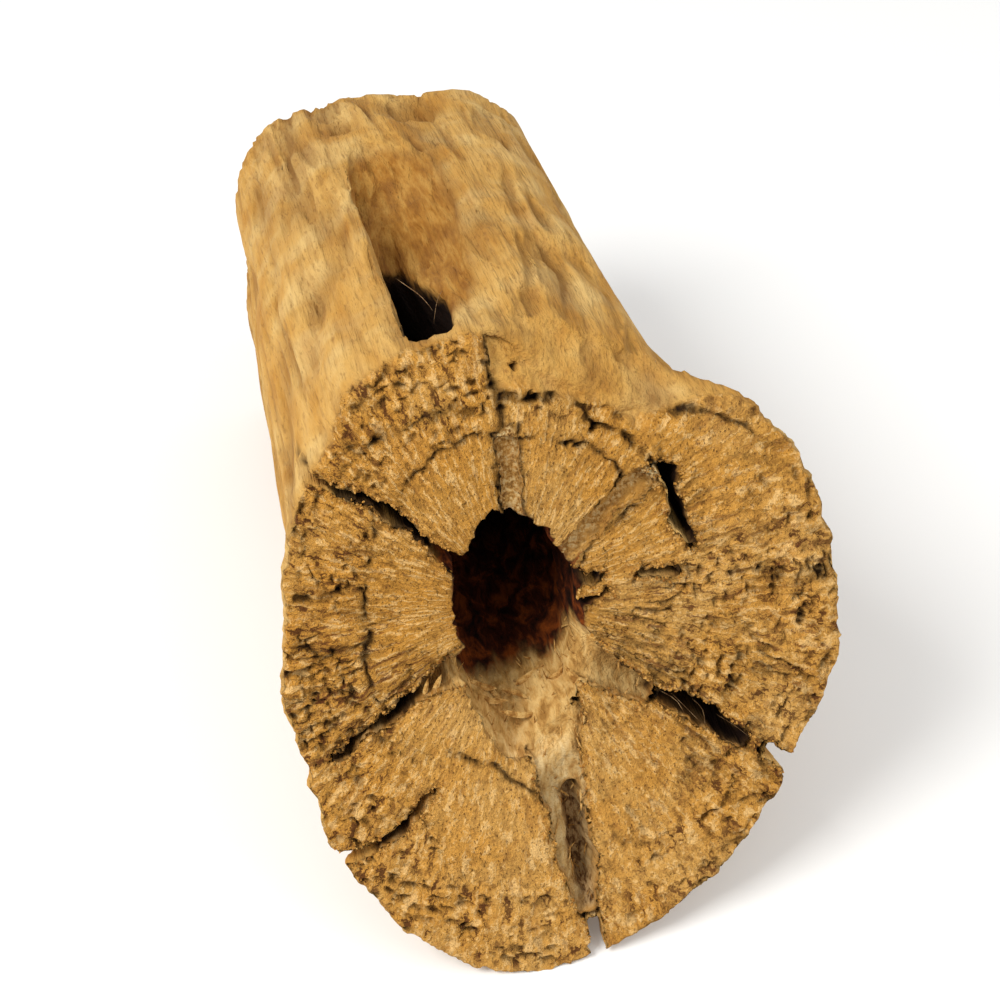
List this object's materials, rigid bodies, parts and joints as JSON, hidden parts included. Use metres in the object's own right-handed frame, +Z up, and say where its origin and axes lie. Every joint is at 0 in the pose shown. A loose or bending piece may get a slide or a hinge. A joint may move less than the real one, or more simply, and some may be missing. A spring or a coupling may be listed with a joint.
{
  "type": "piece of driftwood",
  "caption": "Hollow weathered driftwood log, sawn across its flared root end, with cracked growth wedges and a long opening in its top.",
  "frame": {"origin": "middle of the underside, on the surface that the log rests on", "axes": "+Z up, +Y along the log from the sawn flared end to the far end, +X to the right as seen from the sawn end"},
  "size_m": [0.1094, 0.214, 0.1136],
  "materials": {
    "driftwood": "sun-bleached bare wood, tan to orange-brown, dull, with an open grainy sawn end"
  },
  "bodies": {
    "root": {"driftwood_log": "driftwood"}
  },
  "joints": []
}
